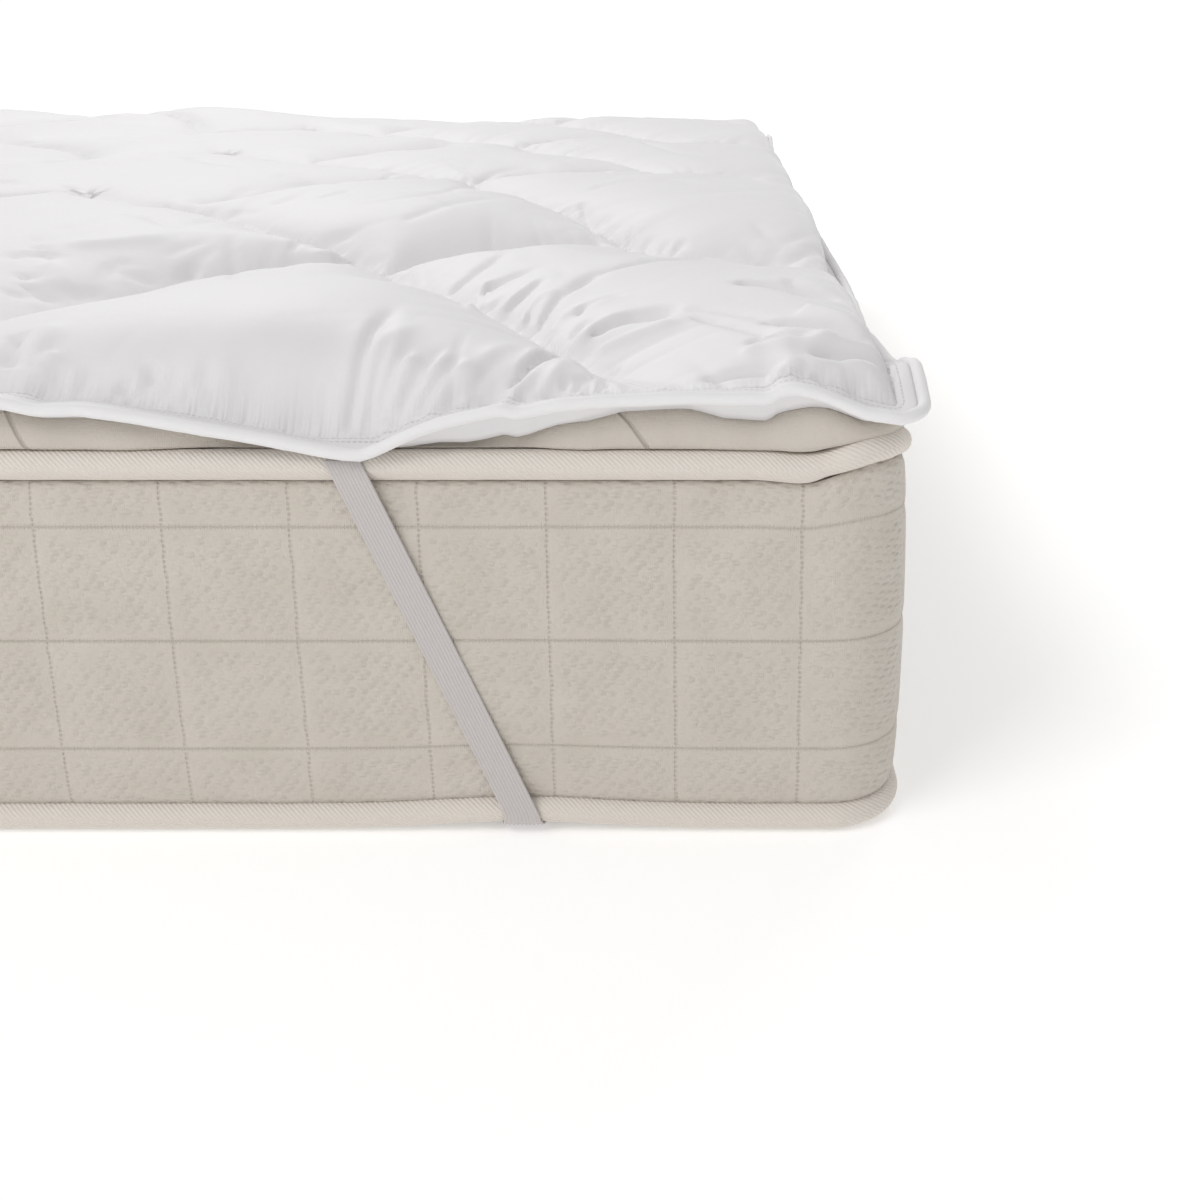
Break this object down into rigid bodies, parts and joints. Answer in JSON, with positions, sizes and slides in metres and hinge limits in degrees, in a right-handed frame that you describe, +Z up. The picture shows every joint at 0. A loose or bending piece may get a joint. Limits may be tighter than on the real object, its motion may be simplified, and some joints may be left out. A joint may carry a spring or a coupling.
{
  "type": "quilted mattress topper strapped on a mattress",
  "caption": "Filled, quilted mattress topper with a piped edge, held on a plain mattress by an elastic strap under each corner.",
  "frame": {"origin": "middle of the mattress's underside, on the surface it stands on", "axes": "+X along the foot end, +Y from the foot end to the head end, +Z up"},
  "size_m": [1.624, 2.024, 0.3382],
  "materials": {
    "topper_microfibre": "soft white brushed microfibre, quilted",
    "topper_cord": "white piping cord in a folded strip",
    "strap_elastic": "pale grey ribbed elastic",
    "mattress_ticking": "ecru knitted ticking with a windowpane check",
    "mattress_twill": "ecru twill tape rolled over a cord"
  },
  "bodies": {
    "root": {"topper_pad": "topper_microfibre", "topper_piping": "topper_cord", "strap_foot_right": "strap_elastic", "strap_head_right": "strap_elastic", "strap_head_left": "strap_elastic", "strap_foot_left": "strap_elastic", "mattress": "mattress_ticking", "mattress_top_piping": "mattress_twill", "mattress_bottom_piping": "mattress_twill"}
  },
  "joints": []
}
